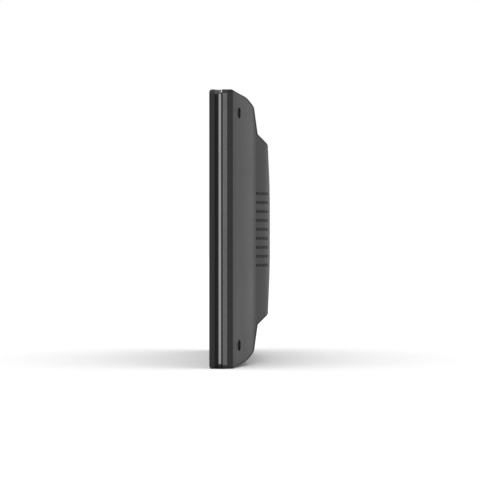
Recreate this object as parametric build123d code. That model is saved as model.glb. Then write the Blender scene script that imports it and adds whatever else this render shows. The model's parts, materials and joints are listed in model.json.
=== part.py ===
from build123d import *
import os

# In-vehicle display unit, standing on its bottom edge. X runs across the screen,
# the screen faces -Y, the domed back faces +Y and Z is up. The origin is the
# middle of the bottom of the whole box. All sizes are in millimetres. A "depth"
# is a distance behind the front face of the bezel.

# ---- overall size ----
width = 182.0
height = 112.0
total_depth = 24.9
corner_radius = 2.0

# ---- layers at the edge, front to back ----
bezel_depth = 2.2
bezel_plate = 1.4
bezel_edge_radius = 1.1
frame_band = 1.2
frame_band_inset = 0.5
frame_band_end_inset = 0.1
trim_depth = 1.4
trim_inset = 0.1
trim_width = 1.2
trim_chamfer = 0.45
seam = 0.3
cover_side = 2.1
edge_chamfer = 2.4

# ---- rear cover ----
cover_wall = 1.6
cover_edge_round = 0.5
rim_ledge_width = 1.6
rim_ledge_depth = 1.0
slope_rise = 3.0
slope_run = 14.6
foot_inset = 31.0
foot_depth = 17.2
flank_inset = 43.0
flank_depth = 22.2
crest_inset = 53.0
crest_depth = 24.9
flat_inset = 61.0
flat_over = 0.4
shoulder_start = 9.0
shoulder_depth = 15.0
shoulder_drop = 2.0
heel_depth = 18.1
heel_drop = 5.4
step_depth = 19.7
step_drop = 16.6
hump_edge_depth = 24.0
hump_edge_drop = 20.4
crown_drop = 40.0

# ---- screen stack ----
window_width = 156.0
window_height = 88.0
window_chamfer = 0.6
glass_width = 165.0
glass_height = 100.0
glass_thickness = 1.1
glass_clearance = 0.2
gasket_thickness = 0.5
gasket_width = 4.0
panel_thickness = 1.4
backlight_thickness = 1.8
tray_sheet = 0.5
tray_clearance = 0.2
frame_clearance = 0.2

# ---- middle frame ----
web_thickness = 1.2
frame_wall_gap = 0.4
web_window_width = 10.0
web_window_height = 58.0
web_window_x = 71.0

# ---- cover screws (M2.5) ----
screw_from_side = 14.3
screw_from_end = 8.9
screw_shank = 2.5
screw_head = 4.4
screw_head_height = 1.6
screw_seat = 10.6
screw_seat_thickness = 1.5
screw_length = 3.4
screw_recess_clearance = 0.1
screw_hole_clearance = 0.15
cover_boss = 7.2
driver_recess = 1.9
driver_recess_depth = 0.9

# ---- main board ----
board_width = 70.0
board_gap = 0.3
board_below_top = 16.0
board_thickness = 1.6
board_standoff = 3.1
board_screw_inset_x = 3.5
board_screw_inset_z = 3.5
standoff_diameter = 5.0
small_shank = 2.0
small_head = 3.6
small_head_height = 1.3
small_length = 3.0
small_hole_clearance = 0.1

# ---- parts on the board ----
shield_size = 26.0
shield_height = 2.2
shield_x = -12.0
shield_above = 25.5
spreader_size = 30.0
spreader_thickness = 1.5
radar_width = 32.0
radar_height = 15.0
radar_can_height = 3.0
radar_x = -8.0
radar_below = 12.5
antenna_thickness = 0.8
patch_size = 3.2
patch_thickness = 0.1
patch_pitch = 6.2
gps_size = 14.0
gps_height = 4.0
gps_x = 19.0
gps_below = 13.5
laser_x = -29.5
laser_below = 16.0
laser_diameter = 8.0
laser_height = 5.0
laser_lens_radius = 4.2
holder_size = 15.0
holder_height = 3.0
cell_diameter = 12.5
cell_thickness = 2.0
cell_x = 20.0
cell_above = 39.5
capacitor_diameter = 6.3
capacitor_height = 5.2
capacitor_x = 14.0
capacitor_pitch = 7.6
capacitor_above = 20.5

# ---- sockets and their bay in the bottom of the hump ----
bay_width = 50.0
bay_top = 14.6
bay_floor_depth = 10.0
usb_x = -14.0
usb_width = 8.94
usb_height = 3.26
usb_length = 7.35
usb_shell = 0.3
usb_tongue = 0.7
usb_setback = 0.2
card_x = 11.0
card_width = 14.0
card_height = 1.6
card_length = 15.0
card_slot_width = 11.2
card_slot_height = 0.9
socket_clearance = 0.15

# ---- speakers and grilles ----
speaker_from_side = 42.5
speaker_width = 19.0
speaker_height = 34.0
speaker_corner = 4.0
speaker_seat = 13.2
speaker_flange = 1.2
speaker_body_inset = 1.6
speaker_body_depth = 3.2
speaker_ear_reach = 6.0
speaker_ear_width = 7.0
magnet_width = 11.0
magnet_height = 20.0
magnet_thickness = 1.4
cone_gap = 0.4
cone_rim = 2.6
cone_thickness = 0.8
cone_rise = 0.5
cone_travel = 0.3
gasket_wall = 1.6
cloth_thickness = 0.3
grille_columns = 8
grille_rows = 9
grille_column_pitch = 1.9
grille_row_pitch = 3.72
grille_hole = 1.35
lead_diameter = 1.1
lead_bend = 3.2
lead_above = 10.5
lead_from_middle = 5.9
plug_width = 4.0
plug_length = 6.0
plug_height = 2.2

# ---- ribbons ----
ribbon_thickness = 0.2
ribbon_x = 12.0
ribbon_width = 14.0
ribbon_above = 2.2
ribbon_bend = 1.4
ribbon_slot_clearance = 0.5
display_plug_width = 17.0
display_plug_length = 3.4
display_plug_height = 1.5
button_ribbon_x = -12.0
button_ribbon_width = 8.0

# ---- buttons ----
button_xs = {"volume_down": -16.0, "volume_up": 0.0, "power": 16.0}
button_width = 9.0
button_depth = 3.4
button_at_depth = 11.6
button_clearance = 0.15
button_proud = 0.1
button_flange = 0.8
button_flange_gap = 0.1
button_flange_below = 4.6
stem_width = 4.0
stem_depth = 2.4
button_board_below = 11.6
button_board_thickness = 1.0
button_board_width = 60.0
button_board_start = 8.6
button_board_depth = 7.0
bracket_width = 7.0
bracket_height = 3.0
switch_width = 6.0
switch_depth = 3.5
switch_height = 3.5
plunger_diameter = 2.0
plunger_clearance = 0.1
plunger_rise = 1.0
plunger_inside = 1.6
button_travel = 0.3

# ---- mounting plate inserts (M4 in brass) and laser window ----
mount_spacing_x = 38.1
mount_spacing_z = 30.2
mount_pad_width = 52.0
mount_pad_height = 44.0
mount_pad_depth = 24.3
mount_pad_corner = 3.0
insert_diameter = 5.6
insert_length = 5.0
insert_bore = 3.3
insert_boss = 8.0
window_port_width = 14.0
window_port_height = 10.0
window_port_corner = 2.0
window_port_thickness = 1.0
window_port_lip = 1.0
window_port_clearance = 0.1
window_port_setback = 0.1

# ---- depths that follow from the layers above ----
trim_start = bezel_depth + frame_band
rim_depth = trim_start + trim_depth + seam
chamfer_start = rim_depth + cover_side
slope_start = chamfer_start + edge_chamfer
glass_back = bezel_plate + glass_thickness
panel_start = glass_back + gasket_thickness
backlight_start = panel_start + panel_thickness
tray_back = backlight_start + backlight_thickness + tray_sheet
web_back = tray_back + web_thickness
board_start = web_back + board_standoff
board_back = board_start + board_thickness

# ---- positions that follow ----
frame_wall_inset = cover_wall + rim_ledge_width + frame_wall_gap
board_bottom = bay_top + cover_wall + board_gap
board_top = height - board_below_top
radar_z = board_top - radar_below
gps_z = board_top - gps_below
laser_z = board_top - laser_below
shield_z = board_bottom + shield_above
capacitor_z = board_bottom + capacitor_above
cell_z = board_bottom + cell_above
lead_z = board_bottom + lead_above
ribbon_z = board_top + ribbon_above
button_flange_bottom = height - button_flange_below
button_board_z = height - button_board_below
mount_z = height / 2
speaker_x = width / 2 - speaker_from_side
lead_x = speaker_x - lead_from_middle
board_height = board_top - board_bottom
board_screw_x = board_width / 2 - board_screw_inset_x
board_screw_zs = (board_bottom + board_screw_inset_z, board_top - board_screw_inset_z)
board_screw_places = [(side * board_screw_x, z) for side in (-1, 1) for z in board_screw_zs]
cover_screw_x = width / 2 - screw_from_side
cover_screw_places = [
    (side * cover_screw_x, z)
    for side in (-1, 1)
    for z in (screw_from_end, height - screw_from_end)
]
mount_places = [
    (across * mount_spacing_x / 2, mount_z + up * mount_spacing_z / 2)
    for across in (-1, 1)
    for up in (-1, 1)
]
ear_distance = speaker_height / 2 + speaker_ear_reach / 2
bracket_x = button_board_width / 2 - bracket_width / 2
button_board_middle = button_board_start + button_board_depth / 2
switch_top = button_board_z + button_board_thickness + switch_height
plunger_top = switch_top + plunger_rise


# ---- helpers ----
def y_at(depth):
    """The Y of a plane at this depth behind the front face."""
    return depth - total_depth / 2


def slab(outline, start, end):
    """The outline, drawn in X and Z, as a plate from one depth to another."""
    return extrude(Plane.XZ.offset(-y_at(end)) * outline, amount=end - start)


def rectangle(size_x, size_z, x=0.0, z=0.0, radius=0.0):
    """A rectangle centred at x and z, with rounded corners if asked."""
    if radius > 0:
        return Pos(x, z) * RectangleRounded(size_x, size_z, radius)
    return Pos(x, z) * Rectangle(size_x, size_z)


def outline(inset):
    """The front view of the whole unit, drawn in by the inset."""
    radius = max(corner_radius - inset, 0.5)
    return rectangle(width - 2 * inset, height - 2 * inset, 0, height / 2, radius)


def screen_rectangle(grow_width, grow_height, radius=0.0):
    """A rectangle of that size about the middle of the screen."""
    return rectangle(grow_width, grow_height, 0, height / 2, radius)


def discs(places, diameter):
    """A round outline at each place."""
    return Sketch() + [Pos(x, z) * Circle(diameter / 2) for x, z in places]


def block(size_x, size_y, size_z, x, depth, z):
    """A box centred in X and in depth at the given place, standing on z."""
    solid = Box(size_x, size_y, size_z, align=(Align.CENTER, Align.CENTER, Align.MIN))
    return Pos(x, y_at(depth), z) * solid


def upright(diameter, length, x, depth, z):
    """A cylinder along Z, standing on z."""
    solid = Cylinder(diameter / 2, length, align=(Align.CENTER, Align.CENTER, Align.MIN))
    return Pos(x, y_at(depth), z) * solid


def write(name, shape):
    """One STEP file for one node."""
    export_step(shape, f"parts/{name}.step")


# ---- form of the back ----
# The profiles start outside the front view, so its straight sides trim them.
profile_over = 2.0
plan_bends = [0.5, 1.5, 110, 130, 80, 35, 30]
side_bends = [0.5, 5, 3.5, 1.0, 1.8, 250]
smallest_bend = 0.2


def plan_corners():
    """Corners of the back seen from above, X across and depth up, from the right."""
    half = width / 2
    right = [
        (half + profile_over, -height),
        (half + profile_over, chamfer_start - profile_over),
        (half - edge_chamfer, slope_start),
        (half - edge_chamfer - slope_run, slope_start + slope_rise),
        (half - foot_inset, foot_depth),
        (half - flank_inset, flank_depth),
        (half - crest_inset, crest_depth),
        (half - flat_inset, total_depth + flat_over),
    ]
    return right + [(-x, depth) for x, depth in reversed(right)]


def side_corners():
    """Corners of the back seen from the side, depth across, from the bottom up."""
    lead = profile_over * shoulder_drop / (shoulder_depth - shoulder_start)
    bottom = [
        (-width, -lead),
        (shoulder_start - profile_over, -lead),
        (shoulder_depth, shoulder_drop),
        (heel_depth, heel_drop),
        (step_depth, step_drop),
        (hump_edge_depth, hump_edge_drop),
        (total_depth, crown_drop),
    ]
    return bottom + [(depth, height - z) for depth, z in reversed(bottom)]


def profile(corners, bends, inset):
    """The face inside rounded corners that run anticlockwise, drawn in by the inset."""
    points = [Vector(*corner) for corner in corners]
    runs = [(after - before).normalized() for before, after in zip(points, points[1:])]
    inward = [Vector(-run.Y, run.X) * inset for run in runs]
    moved = [points[0] + inward[0]]
    radii = []
    for number, corner in enumerate(points[1:-1]):
        before, after = runs[number], runs[number + 1]
        turn = before.X * after.Y - before.Y * after.X
        gap = inward[number + 1] - inward[number]
        along = (gap.X * after.Y - gap.Y * after.X) / turn
        moved.append(corner + inward[number] + before * along)
        radius = bends[number] - inset if turn > 0 else bends[number] + inset
        radii.append(max(radius, smallest_bend))
    moved.append(points[-1] + inward[-1])
    line = FilletPolyline(*moved, radius=radii)
    return make_face(line + Line(line @ 1, line @ 0))


def back_form(inset=0.0, start=rim_depth):
    """The solid form of the back behind a depth, drawn in by the inset."""
    plan = profile(plan_corners(), plan_bends + plan_bends[::-1], inset)
    plan = extrude(Pos(0, y_at(0), -height) * plan, amount=3 * height)
    side = profile(side_corners(), side_bends + side_bends[::-1], inset)
    side_plane = Plane(origin=(-width, y_at(0), 0), x_dir=(0, 1, 0), z_dir=(1, 0, 0))
    side = extrude(side_plane * side, amount=2 * width)
    return slab(outline(inset), start, total_depth + 1) & plan & side


outer_form = back_form()
inner_form = back_form(cover_wall)


# ---- front and screen ----
def front_bezel():
    body = slab(outline(0), 0, bezel_depth)
    front_edges = body.faces().sort_by(Axis.Y)[0].edges()
    body = fillet(front_edges, bezel_edge_radius)
    opening = slab(screen_rectangle(window_width, window_height, 1.0), 0, bezel_plate)
    pocket_width = glass_width + 2 * glass_clearance
    pocket_height = glass_height + 2 * glass_clearance
    pocket = slab(screen_rectangle(pocket_width, pocket_height, 1.0), bezel_plate, bezel_depth)
    body = body - opening - pocket
    inner_edges = body.faces().sort_by(Axis.Y)[0].inner_wires()[0].edges()
    return chamfer(inner_edges, window_chamfer)


def screen_gasket():
    ring = screen_rectangle(glass_width, glass_height, 1.0)
    ring = ring - screen_rectangle(
        glass_width - 2 * gasket_width, glass_height - 2 * gasket_width, 1.0
    )
    return slab(ring, glass_back, panel_start)


def tray_outline(inset):
    """The outline of the screen tray, drawn in by the inset."""
    return screen_rectangle(glass_width + 2 * tray_sheet - 2 * inset, glass_height - 2 * inset + 1)


def lcd_tray():
    body = slab(tray_outline(0), panel_start, tray_back)
    body -= slab(tray_outline(tray_sheet), panel_start, tray_back - tray_sheet)
    return body - ribbon_slot(tray_back - tray_sheet, tray_back)


def lcd_panel():
    return slab(tray_outline(tray_sheet + tray_clearance), panel_start, backlight_start)


def backlight():
    sheet = tray_outline(tray_sheet + tray_clearance)
    return slab(sheet, backlight_start, tray_back - tray_sheet)


def ribbon_slot(start, end):
    """The slot that the display ribbon passes through."""
    slot = rectangle(
        ribbon_width + 2 * ribbon_slot_clearance,
        ribbon_thickness + 2 * ribbon_slot_clearance,
        ribbon_x,
        ribbon_z,
    )
    return slab(slot, start, end)


# ---- middle frame and trim ----
def mid_frame():
    band = rectangle(
        width - 2 * frame_band_inset,
        height - 2 * frame_band_end_inset,
        0,
        height / 2,
        max(corner_radius - frame_band_inset, 0.5),
    )
    body = slab(band, bezel_depth, trim_start)
    body += slab(outline(trim_inset + trim_width), trim_start, rim_depth)
    body += slab(outline(frame_wall_inset), rim_depth, web_back)
    body -= slab(tray_outline(-frame_clearance), bezel_depth, tray_back)
    body -= ribbon_slot(tray_back, web_back)
    for side in (-1, 1):
        window = rectangle(web_window_width, web_window_height, side * web_window_x, height / 2, 2)
        body -= slab(window, tray_back, web_back)
    seat_start = screw_seat - screw_seat_thickness
    body += slab(discs(cover_screw_places, cover_boss), web_back, seat_start)
    pilot = discs(cover_screw_places, screw_shank)
    body -= slab(pilot, screw_seat - screw_length, seat_start)
    body += slab(discs(board_screw_places, standoff_diameter), web_back, board_start)
    pilot = discs(board_screw_places, small_shank)
    body -= slab(pilot, board_back - small_length, board_start)
    body += slab(discs(ear_places(), standoff_diameter), web_back, speaker_seat)
    pilot = discs(ear_places(), small_shank)
    body -= slab(pilot, speaker_seat + speaker_flange - small_length, speaker_seat)
    bracket_end = button_board_start + button_board_depth
    for side in (-1, 1):
        bracket = rectangle(
            bracket_width,
            bracket_height,
            side * bracket_x,
            button_board_z - bracket_height / 2,
        )
        body += slab(bracket, web_back, bracket_end)
        body -= upright(
            small_shank,
            small_length - button_board_thickness,
            side * bracket_x,
            button_board_middle,
            button_board_z + button_board_thickness - small_length,
        )
    return body


def trim_ring():
    ring = outline(trim_inset) - outline(trim_inset + trim_width)
    body = slab(ring, trim_start, trim_start + trim_depth)
    front_wire = body.faces().sort_by(Axis.Y)[0].outer_wire()
    return chamfer(front_wire.edges(), trim_chamfer)


# ---- rear cover ----
def grille_outline(side):
    """The holes of one grille."""
    holes = GridLocations(grille_column_pitch, grille_row_pitch, grille_columns, grille_rows)
    place = Pos(side * speaker_x, height / 2)
    return Sketch() + [place * hole * Circle(grille_hole / 2) for hole in holes]


def bay_box(grow):
    """The bay for the sockets, grown by a wall."""
    start = bay_floor_depth - grow
    size_x = bay_width + 2 * grow
    top = bay_top + grow
    return block(size_x, 2 * total_depth, 2 * top, 0, start + total_depth, -top)


def rear_cover():
    body = rounded_form()
    body -= bay_box(0)
    body -= inner_form - bay_box(cover_wall)
    ledge = outline(cover_wall) - outline(cover_wall + rim_ledge_width)
    body += slab(ledge, rim_depth, rim_depth + rim_ledge_depth)
    seat_start = screw_seat - screw_seat_thickness
    bosses = slab(discs(cover_screw_places, cover_boss), seat_start, total_depth)
    body += bosses & outer_form
    recess = discs(cover_screw_places, screw_head + 2 * screw_recess_clearance)
    body -= slab(recess, screw_seat, total_depth)
    hole = discs(cover_screw_places, screw_shank + 2 * screw_hole_clearance)
    body -= slab(hole, seat_start, screw_seat)
    insert_start = mount_pad_depth - insert_length
    bosses = slab(discs(mount_places, insert_boss), insert_start - 1, total_depth)
    body += bosses & outer_form
    pad = rectangle(mount_pad_width, mount_pad_height, 0, mount_z, mount_pad_corner)
    body -= slab(pad, mount_pad_depth, total_depth)
    body -= slab(discs(mount_places, insert_diameter), insert_start, mount_pad_depth)
    for side in (-1, 1):
        body -= slab(grille_outline(side), speaker_seat + speaker_flange, total_depth)
    for x in button_xs.values():
        body -= block(
            button_width + 2 * button_clearance,
            button_depth + 2 * button_clearance,
            height,
            x,
            button_at_depth,
            button_flange_bottom,
        )
    body -= window_port(window_port_clearance, window_start(), total_depth)
    body -= window_port(-window_port_lip, 0.5 * total_depth, total_depth)
    body -= usb_opening()
    body -= card_opening()
    return body


def rounded_form():
    """The outer form with its long outer edges rounded."""
    edges = [edge for edge in outer_form.edges() if is_back_edge(edge)]
    return fillet(edges, cover_edge_round)


def is_back_edge(edge):
    """True for an edge where the sloping sides meet the top or bottom surface."""
    middle = edge @ 0.5
    near_end = min(middle.Z, height - middle.Z) < hump_edge_drop + 1
    crosses = abs((edge @ 0).X - (edge @ 1).X) > 0.05
    outermost = width / 2 - edge_chamfer - cover_edge_round / 2
    on_slope = width / 2 - crest_inset < abs(middle.X) < outermost
    return near_end and crosses and on_slope and middle.Y > y_at(slope_start) - 0.6


def window_start():
    """The depth of the seat of the laser window."""
    return total_depth - window_port_setback - 2 * window_port_thickness


def window_port(grow, start, end):
    """A block of the laser window's outline, grown by a clearance."""
    shape = rectangle(
        window_port_width + 2 * grow,
        window_port_height + 2 * grow,
        laser_x,
        laser_z,
        window_port_corner + min(grow, 0) / 2,
    )
    return slab(shape, start, end)


def usb_outline(grow):
    """The end view of the charging socket, grown by a clearance."""
    return SlotOverall(usb_width + 2 * grow, usb_height + 2 * grow)


def usb_prism(grow, z_start, z_end):
    """The socket's outline as a bar along Z."""
    centre = y_at(board_back + usb_height / 2)
    return extrude(Pos(usb_x, centre, z_start) * usb_outline(grow), amount=z_end - z_start)


def usb_opening():
    return usb_prism(socket_clearance, bay_top - 1, bay_top + cover_wall + 1)


def card_opening():
    return block(
        card_slot_width + 2 * socket_clearance,
        card_slot_height + 2 * socket_clearance,
        cover_wall + 2,
        card_x,
        board_back + card_height / 2,
        bay_top - 1,
    )


# ---- fasteners ----
def screws(places, seat, length, shank, head, head_height):
    """Pan head screws along Y, heads towards the back, each with a driver recess."""
    body = slab(discs(places, head), seat, seat + head_height)
    body += slab(discs(places, shank), seat - length, seat)
    drive = Sketch() + [Pos(x, z) * RegularPolygon(driver_recess / 2, 6) for x, z in places]
    top = seat + head_height
    return body - slab(drive, top - min(driver_recess_depth, 0.7 * head_height), top)


def mount_inserts():
    start = mount_pad_depth - insert_length
    rings = discs(mount_places, insert_diameter) - discs(mount_places, insert_bore)
    return slab(rings, start, mount_pad_depth)


def button_board_screws():
    body = Part()
    for side in (-1, 1):
        top = button_board_z + button_board_thickness
        place = (side * bracket_x, button_board_middle)
        body += upright(small_head, small_head_height, *place, top)
        body += upright(small_shank, small_length, *place, top - small_length)
    return body


# ---- boards and what they carry ----
def main_board():
    plate = rectangle(board_width, board_height, 0, board_bottom + board_height / 2, 1.5)
    plate -= discs(board_screw_places, small_shank + 2 * small_hole_clearance)
    return slab(plate, board_start, board_back)


def can(size_x, size_z, x, z, rise, sheet=0.3):
    """A stamped screening can on the back of the board."""
    body = slab(rectangle(size_x, size_z, x, z, 1.0), board_back, board_back + rise)
    hollow = rectangle(size_x - 2 * sheet, size_z - 2 * sheet, x, z, 0.7)
    return body - slab(hollow, board_back, board_back + rise - sheet)


def heat_spreader():
    start = board_back + shield_height
    plate = rectangle(spreader_size, spreader_size, shield_x, shield_z, 2.0)
    return slab(plate, start, start + spreader_thickness)


def radar_antenna():
    """A flat antenna board with a grid of square patches."""
    start = board_back + radar_can_height
    back = start + antenna_thickness
    body = slab(rectangle(radar_width, radar_height, radar_x, radar_z), start, back)
    across = int((radar_width - patch_size) // patch_pitch) + 1
    up = int((radar_height - patch_size) // patch_pitch) + 1
    grid = GridLocations(patch_pitch, patch_pitch, across, up)
    patches = Sketch() + [
        Pos(radar_x, radar_z) * place * Rectangle(patch_size, patch_size) for place in grid
    ]
    return body + slab(patches, back, back + patch_thickness)


def gps_antenna():
    back = board_back + gps_height
    body = slab(rectangle(gps_size, gps_size, gps_x, gps_z, 0.8), board_back, back)
    patch = rectangle(0.7 * gps_size, 0.7 * gps_size, gps_x, gps_z)
    return body + slab(patch, back, back + patch_thickness)


def laser_sensor():
    """A round holder with a domed lens that looks out of the window."""
    top = board_back + laser_height
    body = slab(discs([(laser_x, laser_z)], laser_diameter), board_back, top)
    lens = Pos(laser_x, y_at(top) - laser_lens_radius / 2, laser_z) * Sphere(laser_lens_radius)
    front = slab(discs([(laser_x, laser_z)], laser_diameter - 1), top, top + laser_lens_radius)
    return body + (lens & front)


def battery_holder():
    back = board_back + holder_height
    body = slab(rectangle(holder_size, holder_size, cell_x, cell_z, 1.0), board_back, back)
    cup = discs([(cell_x, cell_z)], cell_diameter + 0.2)
    return body - slab(cup, back - cell_thickness, back)


def backup_cell():
    back = board_back + holder_height
    return slab(discs([(cell_x, cell_z)], cell_diameter), back - cell_thickness, back)


def capacitors():
    places = [(capacitor_x + step * capacitor_pitch, capacitor_z) for step in range(3)]
    return slab(discs(places, capacitor_diameter), board_back, board_back + capacitor_height)


def usb_socket():
    mouth = bay_top + usb_setback
    body = usb_prism(0, mouth, mouth + usb_length)
    body -= usb_prism(-usb_shell, mouth, mouth + usb_length - 1)
    tongue = block(
        usb_width - usb_height,
        usb_tongue,
        usb_length - 1,
        usb_x,
        board_back + usb_height / 2,
        mouth + 0.6,
    )
    return body + tongue


def card_socket():
    bottom = bay_top + cover_wall + socket_clearance + 0.3
    middle = board_back + card_height / 2
    body = block(card_width, card_height, card_length, card_x, middle, bottom)
    return body - block(card_slot_width, card_slot_height, card_length - 1, card_x, middle, bottom)


# ---- speakers ----
def ear_places(sides=(-1, 1)):
    """Where the two ears of each speaker are screwed down."""
    middle = height / 2
    return [(side * speaker_x, middle + up * ear_distance) for side in sides for up in (-1, 1)]


def speaker_rectangle(side, inset):
    """The speaker's front outline, drawn in by the inset."""
    radius = max(speaker_corner - inset, 0.6)
    size_x = speaker_width - 2 * inset
    size_z = speaker_height - 2 * inset
    return rectangle(size_x, size_z, side * speaker_x, height / 2, radius)


def speaker_basket(side):
    seat = speaker_seat
    top = seat + speaker_flange
    body = slab(speaker_rectangle(side, 0), seat, top)
    ears = rectangle(
        speaker_ear_width,
        speaker_height + 2 * speaker_ear_reach,
        side * speaker_x,
        height / 2,
        2.5,
    )
    body += slab(ears, seat, top)
    body += slab(speaker_rectangle(side, speaker_body_inset), seat - speaker_body_depth, seat)
    well = speaker_rectangle(side, cone_rim)
    body -= slab(well, seat - speaker_body_depth + 0.8, top)
    return body - slab(discs(ear_places((side,)), small_shank + 0.2), seat, top)


def speaker_magnet(side):
    back = speaker_seat - speaker_body_depth
    plate = rectangle(magnet_width, magnet_height, side * speaker_x, height / 2, 1.5)
    return slab(plate, back - magnet_thickness, back)


def speaker_cone(side):
    top = speaker_seat + speaker_flange - cone_travel - cone_rise
    body = slab(speaker_rectangle(side, cone_rim + cone_gap), top - cone_thickness, top)
    dome = speaker_rectangle(side, cone_rim + cone_gap + 2.0)
    cap = extrude(Plane.XZ.offset(-y_at(top)) * dome, amount=-cone_rise, taper=45)
    coil = speaker_rectangle(side, cone_rim + cone_gap + 3.2) - speaker_rectangle(
        side, cone_rim + cone_gap + 3.8
    )
    coil_start = speaker_seat - speaker_body_depth + 0.8 + 2 * cone_travel
    return body + cap + slab(coil, coil_start, top - cone_thickness)


def speaker_gasket(side):
    ring = speaker_rectangle(side, 0) - speaker_rectangle(side, gasket_wall)
    return slab(ring, speaker_seat + speaker_flange, total_depth) & inner_form


def grille_cloth(side):
    sheet = slab(speaker_rectangle(side, gasket_wall), speaker_seat, total_depth)
    return (sheet & inner_form) - Pos(0, -cloth_thickness, 0) * inner_form


def lead_plug(side):
    """The plug of a speaker lead on the edge of the board."""
    x = side * (board_width / 2 - plug_width / 2)
    shape = rectangle(plug_width, plug_length, x, lead_z)
    return slab(shape, board_back, board_back + plug_height)


def speaker_lead(side):
    """The twin lead from its plug to the speaker's lower edge."""
    y = y_at(board_back + plug_height / 2)
    start = (side * board_width / 2, y, lead_z)
    corner = (side * lead_x, y, lead_z)
    end = (side * lead_x, y, height / 2 - speaker_height / 2)
    path = FilletPolyline(start, corner, end, radius=lead_bend)
    section = Plane(origin=path @ 0, z_dir=path % 0) * Circle(lead_diameter / 2)
    return sweep(section, path) + lead_plug(side)


# ---- ribbons ----
def display_plug():
    z = ribbon_z - ribbon_bend - 2.4 - display_plug_length / 2
    shape = rectangle(display_plug_width, display_plug_length, ribbon_x, z)
    return slab(shape, board_back, board_back + display_plug_height)


def display_ribbon():
    """A flat ribbon from the screen through both slots, round to its plug."""
    end_depth = board_back + display_plug_height
    plug_top = ribbon_z - ribbon_bend - 2.4
    path = FilletPolyline(
        (y_at(tray_back - tray_sheet), ribbon_z),
        (y_at(end_depth), ribbon_z),
        (y_at(end_depth), plug_top - display_plug_length),
        radius=ribbon_bend,
    )
    strip = make_face(
        path
        + offset(path, amount=ribbon_thickness, side=Side.LEFT, closed=True)
    )
    return extrude(Plane.YZ.offset(ribbon_x - ribbon_width / 2) * strip, amount=ribbon_width)


def button_plug():
    z = ribbon_z - ribbon_bend - 2.4 - display_plug_length / 2
    shape = rectangle(button_ribbon_width + 2, display_plug_length, button_ribbon_x, z)
    return slab(shape, board_back, board_back + display_plug_height)


def button_ribbon():
    start = board_back + display_plug_height
    bottom = ribbon_z - ribbon_bend - 2.4 - display_plug_length
    shape = rectangle(
        button_ribbon_width,
        button_board_z - bottom,
        button_ribbon_x,
        (button_board_z + bottom) / 2,
    )
    return slab(shape, start, start + ribbon_thickness)


# ---- buttons ----
def button_board():
    top = button_board_z
    body = block(
        button_board_width,
        button_board_depth,
        button_board_thickness,
        0,
        button_board_middle,
        top,
    )
    for side in (-1, 1):
        hole = small_shank + 2 * small_hole_clearance
        body -= upright(
            hole, button_board_thickness, side * bracket_x, button_board_middle, top
        )
    return body


def switch_body(x):
    bottom = button_board_z + button_board_thickness
    body = block(switch_width, switch_depth, switch_height, x, button_at_depth, bottom)
    bore_depth = plunger_inside + button_travel + 0.3
    bore = upright(
        plunger_diameter + 2 * plunger_clearance,
        bore_depth,
        x,
        button_at_depth,
        switch_top - bore_depth,
    )
    return body - bore


def switch_plunger(x):
    length = plunger_inside + plunger_rise
    return upright(plunger_diameter, length, x, button_at_depth, plunger_top - length)


def button_cap(x):
    """A button flush in the top shoulder, held by a flange under the wall."""
    cap = block(button_width, button_depth, height, x, button_at_depth, button_flange_bottom)
    cap = cap & (Pos(0, 0, button_proud) * outer_form)
    flange = block(
        button_width + 2 * button_flange,
        button_depth + 2 * button_flange,
        height,
        x,
        button_at_depth,
        button_flange_bottom,
    )
    flange = flange & (Pos(0, 0, -button_flange_gap) * inner_form)
    stem_length = button_flange_bottom - plunger_top
    stem = block(stem_width, stem_depth, stem_length, x, button_at_depth, plunger_top)
    return cap + flange + stem


def laser_window():
    """A dark window set into the back, crowned with it."""
    lip_start = window_start()
    body = window_port(0, lip_start, total_depth)
    return body & (Pos(0, -window_port_setback, 0) * outer_form)


def build():
    os.makedirs("parts", exist_ok=True)
    write("front_bezel", front_bezel())
    glass = screen_rectangle(glass_width, glass_height, 0.8)
    write("cover_glass", slab(glass, bezel_plate, glass_back))
    write("screen_gasket", screen_gasket())
    write("lcd_panel", lcd_panel())
    write("backlight", backlight())
    write("lcd_tray", lcd_tray())
    write("mid_frame", mid_frame())
    write("trim_ring", trim_ring())
    write("rear_cover", rear_cover())
    cover_set = screws(
        cover_screw_places, screw_seat, screw_length, screw_shank, screw_head, screw_head_height
    )
    write("cover_screws", cover_set)
    write("mount_inserts", mount_inserts())
    write("laser_window", laser_window())
    write("laser_sensor", laser_sensor())
    write("main_board", main_board())
    small = (small_length, small_shank, small_head, small_head_height)
    write("board_screws", screws(board_screw_places, board_back, *small))
    write("speaker_screws", screws(ear_places(), speaker_seat + speaker_flange, *small))
    write("processor_shield", can(shield_size, shield_size, shield_x, shield_z, shield_height))
    write("heat_spreader", heat_spreader())
    write("radar_shield", can(radar_width, radar_height, radar_x, radar_z, radar_can_height))
    write("radar_antenna", radar_antenna())
    write("gps_antenna", gps_antenna())
    write("battery_holder", battery_holder())
    write("backup_cell", backup_cell())
    write("capacitors", capacitors())
    write("usb_socket", usb_socket())
    write("card_socket", card_socket())
    write("display_plug", display_plug())
    write("display_ribbon", display_ribbon())
    write("button_plug", button_plug())
    write("button_ribbon", button_ribbon())
    write("button_board", button_board())
    write("button_board_screws", button_board_screws())
    for side, hand in ((1, "right"), (-1, "left")):
        write(f"speaker_basket_{hand}", speaker_basket(side))
        write(f"speaker_magnet_{hand}", speaker_magnet(side))
        write(f"speaker_cone_{hand}", speaker_cone(side))
        write(f"speaker_gasket_{hand}", speaker_gasket(side))
        write(f"grille_cloth_{hand}", grille_cloth(side))
        write(f"speaker_lead_{hand}", speaker_lead(side))
    for name, x in button_xs.items():
        write(f"{name}_button", button_cap(x))
        write(f"{name}_switch", switch_body(x))
        write(f"{name}_plunger", switch_plunger(x))


build()
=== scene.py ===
import json
import math
from functools import partial

import bmesh
import bpy
from mathutils import Matrix, Vector

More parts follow.
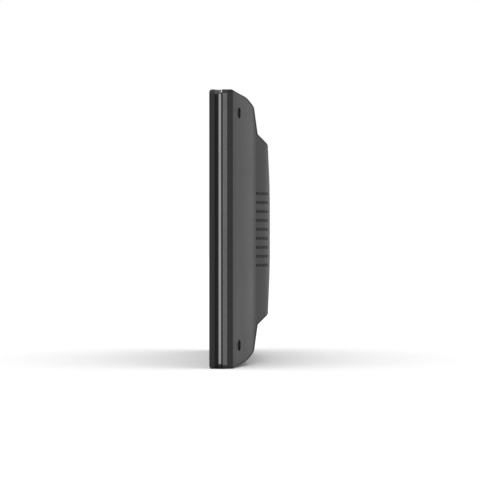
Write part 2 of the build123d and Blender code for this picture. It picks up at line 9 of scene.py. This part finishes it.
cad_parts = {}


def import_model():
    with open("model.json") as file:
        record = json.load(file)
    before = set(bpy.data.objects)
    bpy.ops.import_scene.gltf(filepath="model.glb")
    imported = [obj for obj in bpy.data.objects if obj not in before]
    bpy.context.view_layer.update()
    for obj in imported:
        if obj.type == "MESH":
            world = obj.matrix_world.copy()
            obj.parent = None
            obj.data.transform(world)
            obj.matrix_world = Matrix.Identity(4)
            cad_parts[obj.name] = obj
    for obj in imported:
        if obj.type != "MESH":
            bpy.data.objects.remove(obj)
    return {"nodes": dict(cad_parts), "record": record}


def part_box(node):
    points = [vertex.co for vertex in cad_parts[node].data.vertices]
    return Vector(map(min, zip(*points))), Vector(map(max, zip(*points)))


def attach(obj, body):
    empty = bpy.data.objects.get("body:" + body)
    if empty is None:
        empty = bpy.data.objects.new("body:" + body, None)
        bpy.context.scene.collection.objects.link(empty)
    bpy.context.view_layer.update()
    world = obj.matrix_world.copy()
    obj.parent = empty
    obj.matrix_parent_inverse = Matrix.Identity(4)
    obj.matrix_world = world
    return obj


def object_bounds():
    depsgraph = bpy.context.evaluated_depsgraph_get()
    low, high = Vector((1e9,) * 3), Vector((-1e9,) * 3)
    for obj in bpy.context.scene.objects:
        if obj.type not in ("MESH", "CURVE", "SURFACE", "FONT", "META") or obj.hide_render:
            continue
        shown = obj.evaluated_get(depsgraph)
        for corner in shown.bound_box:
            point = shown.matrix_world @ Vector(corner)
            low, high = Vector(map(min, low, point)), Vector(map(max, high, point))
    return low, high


MM = 0.001
TURN = 2 * math.pi
BLACK = (0.0, 0.0, 0.0)
WHITE = (1.0, 1.0, 1.0)
# How deep a bump may reach: moulded grain, drawn lines, and woven threads.
GRAIN_DEPTH = 0.03 * MM
LINE_DEPTH = 0.01 * MM
WEAVE_DEPTH = 0.1 * MM

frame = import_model()
cad_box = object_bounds()
low_corner, high_corner = cad_box
middle = (low_corner + high_corner) / 2
size = high_corner - low_corner

# The back's layers, from the sizes of its sides, its bevels and its hump.
side_height = 2.1 * MM
bevel_height = 2.4 * MM
bevel_width = 2.45 * MM
hump_foot_depth = 17.2 * MM
hump_flat_x = 38 * MM
front_y = low_corner.y
cover_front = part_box("rear_cover")[0].y
bevel_start = cover_front + side_height
bevel_end = bevel_start + bevel_height
bevel_inner_x = high_corner.x - bevel_width
hump_foot = front_y + hump_foot_depth
# The back's side outline: depth behind the front face, and drop from the top, in mm.
back_outline = ((0, 0), (9, 0), (15, 2), (18.1, 5.4), (19.7, 16.6), (24, 20.4))
# How wide the painted shade along the back's outline runs.
rim_shade_width = 0.7 * MM
# How far from the top or the bottom a surface still counts as that end.
end_zone = 2 * MM
# The part of the screen that shows a picture.
viewed_width = 151 * MM
viewed_height = 84 * MM
# How far the plated patches stand above the boards that carry them.
patch_height = 0.08 * MM


# ---------------------------------------------------------------- shader sums
class Value:
    """A socket of a node, which can be used in sums like a number."""

    def __init__(self, tree, socket):
        self.tree = tree
        self.socket = socket

    def math(self, operation, *others):
        values = dict(enumerate((self, *others)))
        return self.tree.node("ShaderNodeMath", {"operation": operation}, values)

    def __add__(self, other):
        return self.math("ADD", other)

    __radd__ = __add__

    def __mul__(self, other):
        return self.math("MULTIPLY", other)

    __rmul__ = __mul__

    def __sub__(self, other):
        return self.math("SUBTRACT", other)

    def __rsub__(self, other):
        return self.tree.node("ShaderNodeMath", {"operation": "SUBTRACT"}, {0: other, 1: self})

    def __gt__(self, other):
        return self.math("GREATER_THAN", other)

    def __lt__(self, other):
        return self.math("LESS_THAN", other)

    def size(self):
        return self.math("ABSOLUTE")

    def least(self, other):
        return self.math("MINIMUM", other)

    def most(self, other):
        return self.math("MAXIMUM", other)

    def remap(self, low, high, new_low=0.0, new_high=1.0):
        """This value, carried from one range to another and held inside it."""
        inputs = {"Value": self, 1: low, 2: high, 3: new_low, 4: new_high}
        return self.tree.node("ShaderNodeMapRange", {"clamp": True}, inputs)


class Tree:
    """The nodes of a material or a world, which all come from the same method."""

    def __init__(self, owner):
        owner.use_nodes = True
        self.tree = owner.node_tree
        self.tree.nodes.clear()

    def put(self, socket, value):
        """Links or sets one input socket."""
        if isinstance(value, Value):
            self.tree.links.new(value.socket, socket)
        elif socket.type == "RGBA":
            socket.default_value = (*value, 1.0)
        else:
            socket.default_value = value

    def node(self, kind, settings=None, inputs=None, output=0):
        """Any node: its settings first, then its inputs, and one of its outputs if it has any."""
        made = self.tree.nodes.new(kind)
        for name, value in (settings or {}).items():
            setattr(made, name, value)
        for key, value in (inputs or {}).items():
            self.put(made.inputs[key], value)
        return Value(self, made.outputs[output]) if made.outputs else None


class Finish(Tree):
    """One material, with the steps that its nodes share with other finishes."""

    def __init__(self, name):
        self.material = bpy.data.materials.new(name)
        super().__init__(self.material)

    def place(self):
        """The point on the object, in metres."""
        return self.node("ShaderNodeTexCoord", output="Object")

    def split(self, vector):
        """The three numbers of a vector."""
        first = self.node("ShaderNodeSeparateXYZ", inputs={0: vector})
        return [Value(self, socket) for socket in first.socket.node.outputs]

    def axes(self):
        """The three coordinates of the point: across, depth and up."""
        return self.split(self.place())

    def facing(self):
        """How far the surface faces along each axis, as three numbers."""
        return self.split(self.node("ShaderNodeTexCoord", output="Normal"))

    def noise(self, scale, detail=3.0, roughness=0.5, distortion=0.0):
        inputs = {
            "Vector": self.place(),
            "Scale": scale,
            "Detail": detail,
            "Roughness": roughness,
            "Distortion": distortion,
        }
        return self.node("ShaderNodeTexNoise", inputs=inputs)

    def cells(self, scale):
        inputs = {"Vector": self.place(), "Scale": scale}
        return self.node("ShaderNodeTexVoronoi", inputs=inputs)

    def waves(self, along, pitch):
        """A sine along one coordinate, with the length of one wave."""
        return (along * (TURN / pitch)).math("SINE")

    def blend(self, amount, first, second):
        """A colour between two colours."""
        inputs = {0: amount, 6: first, 7: second}
        return self.node("ShaderNodeMix", {"data_type": "RGBA"}, inputs, output=2)

    def paint(self, colour, *coats):
        """A colour with others laid over it in turn, each as far as its mask says."""
        for mask, coat in coats:
            colour = self.blend(mask, colour, coat)
        return colour

    def bump(self, height, strength, distance=GRAIN_DEPTH):
        inputs = {"Height": height, "Strength": strength, "Distance": distance}
        return self.node("ShaderNodeBump", inputs=inputs)

    def wear(self, **sockets):
        """The finished material, from its shader's sockets, with spaces as underscores."""
        inputs = {name.replace("_", " "): value for name, value in sockets.items()}
        surface = self.node("ShaderNodeBsdfPrincipled", inputs=inputs)
        self.node("ShaderNodeOutputMaterial", inputs={0: surface})
        return self.material


# ---------------------------------------------------------------- outer finishes
def inside_outline(depth, up):
    """How far a point lies inside the side outline of the shoulder and the hump's step."""
    reach = (up - middle.z).size()
    lines = []
    for (start, drop), (end, next_drop) in zip(back_outline, back_outline[1:]):
        length = math.hypot(end - start, next_drop - drop)
        inward = (drop - next_drop) / length
        down = (start - end) / length
        edge = size.z / 2 - drop * MM
        lines.append(inward * (depth - (front_y + start * MM)) + down * (reach - edge))
    shoulder = lines[0].least(lines[1]).least(lines[2]).least(lines[3])
    return shoulder.most(lines[4])


def cover_finish():
    """The back's grain, smooth on the edge bevels, with painted shade down its slopes, along its
    outline's edges and in its front seam.
    """
    finish = Finish("cover_plastic")
    across, depth, up = finish.axes()
    in_band = (depth > bevel_start) * (depth < bevel_end)
    bevel = in_band * (across.size() > bevel_inner_x)
    # Painted shadow in the seam, along the cover's front edge.
    seam_shadow_depth = 0.28 * MM
    seam_shadow = depth < cover_front + seam_shadow_depth

    # Painted shade: darkest on the slopes next to the bevel, and darker again on the hump's
    # sides.
    flank_fade, outer_fade = 2 * MM, 8 * MM
    slope_shade = depth.remap(bevel_end, hump_foot, 0.72, 0.12)
    flank_shade = depth.remap(hump_foot, hump_foot + flank_fade, 0.0, 0.48)
    outer = across.size().remap(hump_flat_x, hump_flat_x + outer_fade)
    painted_shade = outer * (depth > bevel_end) * (slope_shade + flank_shade)

    # Painted shade along the outline's edges and on the rounded corners, only on surfaces that
    # face sideways at least a little.
    side_tilt, end_tilt = 0.12, 0.22
    sideways, _, upwards = finish.facing()
    side = sideways.size() > side_tilt
    rim_shade = side * (inside_outline(depth, up) < rim_shade_width)
    edge_shade = rim_shade.most(side * (upwards.size() > end_tilt))

    fine = finish.noise(4200.0, detail=2.0, roughness=0.6)
    pits = finish.cells(2600.0)
    cloud = finish.noise(55.0, detail=4.0).remap(0.3, 0.7)
    speck = finish.noise(1300.0, detail=2.0).remap(0.35, 0.65, 0.0, 0.18)
    rubbed = finish.noise(20.0, roughness=0.6, distortion=0.4).remap(0.45, 0.75)
    return finish.wear(
        Base_Color=finish.paint(
            (0.108, 0.108, 0.11),
            (cloud, (0.123, 0.123, 0.126)),
            (speck, BLACK),
            # Painted shade goes on down the slopes, along the outline's edges and in the seam;
            # the bevels keep their own darker plastic.
            (painted_shade, BLACK),
            (bevel, (0.021, 0.021, 0.022)),
            (edge_shade * 0.8, (0.01, 0.01, 0.01)),
            (seam_shadow, (0.006, 0.006, 0.006)),
        ),
        Roughness=fine.remap(0.2, 0.8, 0.5, 0.6) - 0.07 * rubbed - bevel * 0.12,
        Normal=finish.bump((fine * 0.6 + pits * 0.4) * (1 - bevel), 0.4),
        Specular_IOR_Level=0.12,
    )


def bezel_finish():
    """Black plastic: a polished front face, and satin edges with a fine texture."""
    finish = Finish("bezel_plastic")
    _, depth, _ = finish.axes()
    polished_depth = 0.6 * MM
    face = depth < front_y + polished_depth
    grain = finish.noise(5000.0, detail=2.0, roughness=0.6)
    smudge = finish.noise(26.0, detail=4.0, roughness=0.6, distortion=0.8).remap(0.5, 0.8)
    satin = grain.remap(0.2, 0.8, 0.38, 0.46)
    return finish.wear(
        Base_Color=finish.paint((0.012, 0.012, 0.013), (face, (0.004, 0.004, 0.004))),
        Roughness=satin - face * 0.2 + 0.08 * smudge,
        Specular_IOR_Level=0.28,
        Normal=finish.bump(grain * (1 - face), 0.2),
    )


def trim_finish():
    """Satin paint with fine flakes, pale at the sides, with painted shade: grey on top, black
    below and in front.
    """
    finish = Finish("trim_satin")
    _, depth, up = finish.axes()
    # Painted shadow along the trim's front edge.
    front_shadow_width = 0.4 * MM
    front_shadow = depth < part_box("trim_ring")[0].y + front_shadow_width
    flakes = finish.cells(9000.0)
    cloud = finish.noise(90.0)
    return finish.wear(
        Base_Color=finish.paint(
            (0.24, 0.24, 0.245),
            (cloud.remap(0.3, 0.7), (0.28, 0.28, 0.285)),
            # Painted shade: grey on the top end, black on the bottom end and along the front
            # edge.
            (up > high_corner.z - end_zone, (0.09, 0.09, 0.092)),
            (up < low_corner.z + end_zone, (0.008, 0.008, 0.008)),
            (front_shadow, (0.03, 0.03, 0.032)),
        ),
        Roughness=flakes.remap(0.0, 0.6, 0.34, 0.44),
        Metallic=cloud.remap(0.3, 0.7, 0.3, 0.4),
        Normal=finish.bump(flakes, 0.1, LINE_DEPTH),
    )


def frame_finish():
    """Dull black plastic, with a painted highlight along the top end of the band, in front of the
    cover.
    """
    finish = Finish("frame_plastic")
    _, depth, up = finish.axes()
    # Painted highlight on the band's top end, where it lies in front of the cover.
    top_highlight = (up > high_corner.z - end_zone) * (depth < cover_front)
    cloud = finish.noise(70.0, detail=4.0).remap(0.3, 0.7)
    grain = finish.noise(4600.0, detail=2.0, roughness=0.6)
    return finish.wear(
        Base_Color=finish.paint(
            (0.007, 0.007, 0.008),
            (cloud, (0.01, 0.01, 0.011)),
            (top_highlight, (0.075, 0.075, 0.077)),
        ),
        Roughness=grain.remap(0.2, 0.8, 0.5, 0.6),
        Specular_IOR_Level=0.12,
        Normal=finish.bump(grain, 0.3),
    )


def glass_finish():
    """Cover glass over an unlit screen: a black printed border, and faint finger smears."""
    finish = Finish("screen_glass")
    across, _, up = finish.axes()
    beside = across.size() > viewed_width / 2
    beyond = (up - middle.z).size() > viewed_height / 2
    border = beside + beyond > 0.5
    smear = finish.noise(35.0, detail=4.0, roughness=0.6, distortion=1.2).remap(0.5, 0.8)
    return finish.wear(
        Base_Color=finish.paint(
            (0.011, 0.013, 0.018),
            (smear, (0.014, 0.016, 0.021)),
            (border, (0.003, 0.003, 0.003)),
        ),
        Roughness=0.05 + 0.06 * smear,
        Specular_IOR_Level=0.35,
    )


def window_finish():
    """Glossy infrared filter plastic, near black with a wine-red cast."""
    finish = Finish("window_dark")
    smear = finish.noise(120.0, roughness=0.6, distortion=0.8).remap(0.5, 0.8)
    return finish.wear(
        Base_Color=finish.paint((0.012, 0.003, 0.006), (smear, (0.016, 0.006, 0.009))),
        Roughness=0.06 + 0.1 * smear,
        Coat_Weight=0.4,
    )


# ---------------------------------------------------------------- inner finishes
def plastic_finish(name, colour, roughness, grain, gloss):
    """Moulded plastic with a fine spark-eroded grain and faint handling marks."""
    finish = Finish(name)
    grain_size = 0.22 * MM
    fine = finish.noise(1 / grain_size, detail=2.0, roughness=0.6)
    pits = finish.cells(0.6 / grain_size)
    cloud = finish.noise(60.0, detail=4.0).remap(0.3, 0.7)
    rubbed = finish.noise(22.0, roughness=0.6, distortion=0.4).remap(0.45, 0.75)
    lighter = tuple(channel * 1.25 for channel in colour)
    return finish.wear(
        Base_Color=finish.paint(colour, (cloud, lighter)),
        Roughness=fine.remap(0.2, 0.8, roughness - 0.05, roughness + 0.05) - 0.06 * rubbed,
        Normal=finish.bump(fine * 0.6 + pits * 0.4, grain),
        Specular_IOR_Level=gloss,
    )


def metal_finish(name, colour, roughness):
    """Drawn or machined metal with fine lines and a little tarnish."""
    finish = Finish(name)
    stretched = finish.node(
        "ShaderNodeMapping", inputs={"Vector": finish.place(), "Scale": (1.0, 1.0, 14.0)}
    )
    lines = finish.node(
        "ShaderNodeTexNoise", inputs={"Vector": stretched, "Scale": 1800.0, "Detail": 3.0}
    )
    tarnish = finish.noise(220.0, detail=4.0).remap(0.4, 0.75)
    duller = tuple(channel * 0.72 for channel in colour)
    return finish.wear(
        Base_Color=finish.paint(colour, (tarnish, duller)),
        Roughness=lines.remap(0.3, 0.7, roughness - 0.06, roughness + 0.08) + 0.08 * tarnish,
        Metallic=1.0,
        Normal=finish.bump(lines, 0.15, LINE_DEPTH),
    )


def panel_finish():
    """The dark, even face of the screen when it is off."""
    finish = Finish("panel_glass")
    cloud = finish.noise(18.0).remap(0.3, 0.7)
    return finish.wear(
        Base_Color=finish.paint((0.022, 0.025, 0.033), (cloud, (0.027, 0.03, 0.039))),
        Roughness=cloud.remap(0.0, 1.0, 0.2, 0.26),
    )


def board_finish():
    """Solder mask over copper tracks, with small plated holes."""
    finish = Finish("board_green")
    across, _, up = finish.axes()
    flat = finish.node("ShaderNodeCombineXYZ", inputs={0: across, 1: up, 2: 0.0})
    layout = {
        "Vector": flat,
        "Scale": 260.0,
        "Mortar Size": 0.012,
        "Color1": BLACK,
        "Color2": BLACK,
        "Mortar": WHITE,
    }
    tracks = finish.node("ShaderNodeTexBrick", {"offset": 0.37, "squash": 0.7}, layout, "Fac")
    holes = finish.cells(420.0) < 0.1
    return finish.wear(
        Base_Color=finish.paint(
            (0.012, 0.085, 0.035), (tracks, (0.03, 0.16, 0.06)), (holes, (0.55, 0.42, 0.2))
        ),
        Roughness=finish.noise(300.0).remap(0.3, 0.7, 0.3, 0.42),
        Metallic=holes,
        Normal=finish.bump(tracks, 0.3),
    )


def antenna_finish():
    """Pale microwave laminate with copper patches standing a little proud."""
    finish = Finish("antenna_board")
    _, depth, _ = finish.axes()
    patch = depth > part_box("radar_antenna")[1].y - patch_height
    speckle = finish.noise(900.0)
    return finish.wear(
        Base_Color=finish.paint(
            (0.72, 0.7, 0.6),
            (speckle.remap(0.3, 0.7), (0.8, 0.78, 0.7)),
            (patch, (0.72, 0.36, 0.2)),
        ),
        Metallic=patch,
        Roughness=speckle.remap(0.3, 0.7, 0.34, 0.5),
    )


def ceramic_finish():
    """Matt ceramic with its silver patch on top."""
    finish = Finish("ceramic_tan")
    _, depth, _ = finish.axes()
    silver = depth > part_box("gps_antenna")[1].y - patch_height
    speckle = finish.cells(2200.0).remap(0.0, 0.5)
    return finish.wear(
        Base_Color=finish.paint(
            (0.5, 0.4, 0.26), (speckle, (0.6, 0.5, 0.34)), (silver, (0.8, 0.79, 0.76))
        ),
        Metallic=silver,
        Roughness=speckle.remap(0.0, 1.0, 0.4, 0.6),
    )


def ribbon_finish():
    """Amber film with rows of copper showing through."""
    finish = Finish("ribbon_amber")
    across, _, _ = finish.axes()
    row_pitch = 0.8 * MM
    stripes = finish.waves(across, row_pitch) > 0.0
    return finish.wear(
        Base_Color=finish.paint((0.42, 0.2, 0.03), (stripes, (0.62, 0.36, 0.12))),
        Roughness=finish.noise(400.0).remap(0.3, 0.7, 0.28, 0.4),
    )


def cloth_finish():
    """Black acoustic cloth with a fine over-and-under weave."""
    finish = Finish("cloth_black")
    across, _, up = finish.axes()
    thread_pitch = 0.45 * MM
    crossing = finish.waves(across, thread_pitch) * finish.waves(up, thread_pitch)
    weave = crossing.remap(-1.0, 1.0)
    return finish.wear(
        Base_Color=finish.paint((0.004, 0.004, 0.004), (weave, (0.014, 0.014, 0.014))),
        Roughness=weave.remap(0.0, 1.0, 0.85, 0.95),
        Normal=finish.bump(weave, 0.8, WEAVE_DEPTH),
    )


# Each plastic's colour, roughness, strength of grain and gloss.
plastics = {
    "button_plastic": ((0.055, 0.055, 0.057), 0.5, 0.25, 0.2),
    "foam": ((0.015, 0.015, 0.015), 0.9, 0.8, 0.5),
    "light_guide": ((0.7, 0.71, 0.73), 0.3, 0.1, 0.5),
    "sensor_dark": ((0.012, 0.012, 0.016), 0.2, 0.05, 0.5),
    "socket_black": ((0.012, 0.012, 0.012), 0.45, 0.25, 0.5),
    "plug_white": ((0.62, 0.6, 0.5), 0.45, 0.15, 0.5),
    "basket_plastic": ((0.012, 0.012, 0.012), 0.5, 0.25, 0.5),
    "cone_film": ((0.02, 0.02, 0.022), 0.35, 0.15, 0.5),
    "lead_black": ((0.01, 0.01, 0.01), 0.5, 0.1, 0.5),
    "plunger_grey": ((0.25, 0.25, 0.25), 0.4, 0.1, 0.5),
}
# Each metal's colour and roughness.
metals = {
    "tray_steel": ((0.56, 0.56, 0.57), 0.34),
    "screw_black": ((0.012, 0.012, 0.013), 0.45),
    "screw_steel": ((0.6, 0.6, 0.6), 0.3),
    "insert_brass": ((0.72, 0.5, 0.22), 0.3),
    "can_steel": ((0.66, 0.66, 0.66), 0.28),
    "spreader_aluminium": ((0.76, 0.77, 0.78), 0.36),
    "cell_steel": ((0.7, 0.7, 0.7), 0.22),
    "capacitor_can": ((0.72, 0.72, 0.74), 0.26),
    "socket_steel": ((0.62, 0.62, 0.63), 0.26),
    "magnet_steel": ((0.45, 0.45, 0.47), 0.35),
}
finishes = {
    "cover_plastic": cover_finish(),
    "bezel_plastic": bezel_finish(),
    "trim_satin": trim_finish(),
    "frame_plastic": frame_finish(),
    "screen_glass": glass_finish(),
    "window_dark": window_finish(),
    "panel_glass": panel_finish(),
    "board_green": board_finish(),
    "antenna_board": antenna_finish(),
    "ceramic_tan": ceramic_finish(),
    "ribbon_amber": ribbon_finish(),
    "cloth_black": cloth_finish(),
    **{name: plastic_finish(name, *row) for name, row in plastics.items()},
    **{name: metal_finish(name, *row) for name, row in metals.items()},
}


def paint_frame_nodes():
    """Gives each node of the frame the finish of its slot in the record."""
    slots = {row["node"]: row["material_slot"] for row in frame["record"]["subparts"]}
    for name, node in frame["nodes"].items():
        for slot in node.material_slots:
            slot.material = finishes[slots[name]]


# ---------------------------------------------------------------- piece helpers
def add_object(name, data):
    """An object in the scene, at the origin."""
    made = bpy.data.objects.new(name, data)
    bpy.context.collection.objects.link(made)
    return made


def put_in_order(shape):
    """Sorts edges and faces by their corners, so that every run writes the same mesh."""
    count = len(shape.verts)
    shape.verts.index_update()

    def rank(part):
        number = 0
        for index in sorted(vert.index for vert in part.verts)[:3]:
            number = number * count + index
        return number

    shape.edges.sort(key=rank)
    shape.faces.sort(key=rank)


def add_mesh(name, draw, material):
    """An object whose mesh is drawn by a function."""
    shape = bmesh.new()
    draw(shape)
    put_in_order(shape)
    mesh = bpy.data.meshes.new(name)
    shape.to_mesh(mesh)
    shape.free()
    mesh.materials.append(material)
    return add_object(name, mesh)


def new_piece(name, draw, body, finish, smooth):
    """A painted mesh that a body carries, smooth where it turns by less than some degrees."""
    piece = add_mesh(name, draw, finishes[finish])
    piece.data.shade_smooth()
    piece.data.set_sharp_from_angle(angle=math.radians(smooth))
    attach(piece, body)


def add_block(shape, centre, extent, soften=0.0):
    """A box, with softened edges if asked."""
    made = bmesh.ops.create_cube(shape, size=1.0)["verts"]
    bmesh.ops.scale(shape, vec=extent, verts=made)
    bmesh.ops.translate(shape, vec=centre, verts=made)
    if soften:
        corners = set(made)
        bmesh.ops.bevel(
            shape,
            geom=[edge for edge in shape.edges if corners.issuperset(edge.verts)],
            offset=soften,
            segments=2,
            profile=0.5,
            affect="EDGES",
            material=-1,
        )


def add_ring(shape, outer, inner, height):
    """A flat ring with square edges, in a shape that holds nothing else yet."""
    for radius in (outer, inner):
        bmesh.ops.create_circle(shape, cap_ends=False, radius=radius, segments=40)
    faces = bmesh.ops.bridge_loops(shape, edges=shape.edges[:])["faces"]
    raised = bmesh.ops.extrude_face_region(shape, geom=faces)["geom"]
    verts = [item for item in raised if isinstance(item, bmesh.types.BMVert)]
    bmesh.ops.translate(shape, vec=(0, 0, height), verts=verts)
    bmesh.ops.recalc_face_normals(shape, faces=shape.faces)


# ---------------------------------------------------------------- button signs
def draw_sign(shape, sign):
    """One sign, drawn flat and then laid on its button's sloping cap."""
    thickness, sunk, soften = 0.1 * MM, 0.02 * MM, 0.02 * MM
    outer, inner = 0.8 * MM, 0.6 * MM
    bar_length, bar_width = 1.7 * MM, 0.28 * MM
    half_cap = 1.7 * MM
    cap_slope = math.atan2(2.0, 6.0)
    if sign == "power":
        add_ring(shape, outer, inner, thickness)
    else:
        raised = (0, 0, thickness / 2)
        add_block(shape, raised, (bar_length, bar_width, thickness), soften)
        if sign == "volume_up":
            add_block(shape, raised, (bar_width, bar_length, thickness), soften)
    tilt = Matrix.Rotation(-cap_slope, 3, "X")
    bmesh.ops.rotate(shape, cent=(0, 0, 0), matrix=tilt, verts=shape.verts)
    low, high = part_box(f"{sign}_button")
    centre = (low + high) / 2
    seat = (centre.x, centre.y, high.z - half_cap * math.tan(cap_slope) - sunk)
    bmesh.ops.translate(shape, vec=seat, verts=shape.verts)


def add_signs():
    """A bar, a cross and a ring stand a hair proud of the three buttons."""
    for sign in ("volume_down", "volume_up", "power"):
        new_piece(f"{sign}_sign", partial(draw_sign, sign=sign), sign, "plug_white", 35)


# ---------------------------------------------------------------- inserts and socket
def draw_threads(shape):
    """One closed, ridged sleeve down the bore of each mount insert."""
    low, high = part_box("mount_inserts")
    insert_radius, bore, ridge, pitch = 2.8 * MM, 1.65 * MM, 0.1 * MM, 0.7 * MM
    root, crest = bore + ridge, bore - ridge
    start = low.y + pitch / 2
    ridges = int((high.y - low.y) / pitch) - 1
    corners = [(crest if i % 2 else root, start + i * pitch / 2) for i in range(2 * ridges + 1)]
    corners += [(root + ridge, start + ridges * pitch), (root + ridge, start)]
    for x in (low.x + insert_radius, high.x - insert_radius):
        for z in (low.z + insert_radius, high.z - insert_radius):
            verts = [shape.verts.new((x + radius, y, z)) for radius, y in corners]
            edges = [shape.edges.new((verts[i - 1], verts[i])) for i in range(len(verts))]
            bmesh.ops.spin(
                shape,
                geom=verts + edges,
                cent=(x, 0, z),
                axis=(0, 1, 0),
                angle=TURN,
                steps=28,
                use_merge=True,
            )
    bmesh.ops.recalc_face_normals(shape, faces=shape.faces)


def draw_contacts(shape):
    """A row of gold strips on each face of the socket's tongue."""
    low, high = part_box("usb_socket")
    centre = (low + high) / 2
    count, pitch = 12, 0.44 * MM
    tongue, height = 0.7 * MM, 2.6 * MM
    strip = (0.24 * MM, 0.06 * MM, 3.4 * MM)
    for face in (-1, 1):
        for number in range(count):
            x = centre.x + (number - (count - 1) / 2) * pitch
            y = centre.y + face * tongue / 2
            add_block(shape, (x, y, low.z + height), strip)


def add_details():
    new_piece("insert_threads", draw_threads, "unit", "insert_brass", 20)
    new_piece("socket_contacts", draw_contacts, "unit", "insert_brass", 20)


# ---------------------------------------------------------------- stage
def draw_floor(shape):
    bmesh.ops.create_grid(shape, x_segments=1, y_segments=1, size=6.0)
    bmesh.ops.translate(shape, vec=(0, 0, low_corner.z), verts=shape.verts)


def floor():
    """A wide pale floor under the unit."""
    finish = Finish("floor_paint")
    material = finish.wear(
        Base_Color=finish.paint((0.86, 0.86, 0.86), (finish.noise(40.0), (0.88, 0.88, 0.88))),
        Roughness=0.9,
        Specular_IOR_Level=0.1,
    )
    ground = add_mesh("floor", draw_floor, material)


def world():
    """White to the eye, and softer as a source of light."""
    seen_strength, lit_strength = 1.0, 0.92
    made = bpy.data.worlds.new("studio")
    bpy.context.scene.world = made
    sky = Tree(made)
    seen, lit = (
        sky.node("ShaderNodeBackground", inputs={"Color": WHITE, "Strength": strength})
        for strength in (seen_strength, lit_strength)
    )
    to_eye = sky.node("ShaderNodeLightPath", output="Is Camera Ray")
    mixed = sky.node("ShaderNodeMixShader", inputs={0: to_eye, 1: lit, 2: seen})
    sky.node("ShaderNodeOutputWorld", inputs={0: mixed})


def sun():
    """One very soft, even light from above and to the right."""
    towards = Vector((0.5, -0.05, 1.2))
    data = bpy.data.lights.new("sun", "SUN")
    data.energy = 1.15
    data.angle = math.radians(75)
    lamp = add_object("sun", data)
    lamp.rotation_euler = (-towards).to_track_quat("-Z", "Y").to_euler()


def camera():
    """Square on to the right-hand side, at a little under half the unit's height."""
    view_width, eye_height, eye_forward = 0.192, 0.0516, 0.0001
    data = bpy.data.cameras.new("camera")
    data.lens = 200
    data.sensor_width = 36
    data.clip_start, data.clip_end = 0.05, 20
    distance = data.lens / data.sensor_width * view_width
    eye = add_object("camera", data)
    eye.location = (high_corner.x + distance, middle.y - eye_forward, low_corner.z + eye_height)
    eye.rotation_euler = (math.radians(90), 0, math.radians(90))
    bpy.context.scene.camera = eye


def stage():
    floor()
    world()
    sun()
    camera()
    bpy.context.scene.view_settings.view_transform = "Standard"


paint_frame_nodes()
add_signs()
add_details()
stage()
